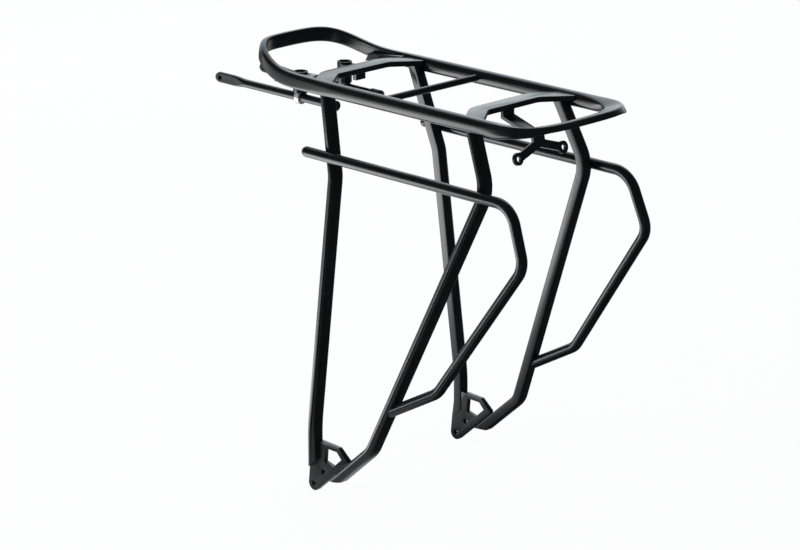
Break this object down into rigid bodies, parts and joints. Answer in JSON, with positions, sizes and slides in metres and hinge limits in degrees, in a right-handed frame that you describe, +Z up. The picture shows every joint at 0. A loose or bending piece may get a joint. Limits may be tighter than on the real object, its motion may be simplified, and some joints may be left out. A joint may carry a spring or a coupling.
{
  "type": "rear bicycle rack",
  "caption": "Rear bicycle rack: a raised looped deck on splayed legs with low pannier rails, bolt-on foot plates, sliding front stays and a rear light bracket.",
  "frame": {"origin": "midway between the two lower foot eyelets, on their common axis", "axes": "+X to the bicycle's right, along the eyelet axis; +Y forward; +Z up towards the deck"},
  "size_m": [0.2106, 0.4518, 0.4003],
  "materials": {
    "frame": "satin black powder coat",
    "plug": "black plastic",
    "fastener": "bright plated steel"
  },
  "bodies": {
    "frame": {"deck_rim": "frame", "front_bridge": "frame", "rear_bridge": "frame", "middle_crossbar": "frame", "left_front_leg": "frame", "right_front_leg": "frame", "left_rear_leg": "frame", "right_rear_leg": "frame", "left_pannier_rail": "frame", "right_pannier_rail": "frame", "left_rail_plug": "plug", "right_rail_plug": "plug", "left_foot_plate": "frame", "right_foot_plate": "frame", "left_nose_gusset": "frame", "right_nose_gusset": "frame", "left_stay_holder": "frame", "right_stay_holder": "frame", "light_bracket": "frame"},
    "left_clamp": {"left_clamp_eye": "fastener", "left_clamp_washer": "fastener", "left_clamp_nut": "fastener"},
    "right_clamp": {"right_clamp_eye": "fastener", "right_clamp_washer": "fastener", "right_clamp_nut": "fastener"},
    "left_stay": {"left_stay": "frame", "left_stay_cap": "plug"},
    "right_stay": {"right_stay": "frame", "right_stay_cap": "plug"}
  },
  "joints": [
    {"name": "left_clamp_swivel", "type": "hinge", "parent": "frame", "child": "left_clamp", "pos_m": [-0.0285, 0.0867, 0.342], "axis": [0, 0, 1], "range_deg": [-6, 15]},
    {"name": "left_stay_slide", "type": "slide", "parent": "left_clamp", "child": "left_stay", "axis": [0, 1, 0], "range_m": [-0.025, 0.028]},
    {"name": "right_clamp_swivel", "type": "hinge", "parent": "frame", "child": "right_clamp", "pos_m": [0.0285, 0.0867, 0.342], "axis": [0, 0, 1], "range_deg": [-15, 6]},
    {"name": "right_stay_slide", "type": "slide", "parent": "right_clamp", "child": "right_stay", "axis": [0, 1, 0], "range_m": [-0.025, 0.028]}
  ]
}
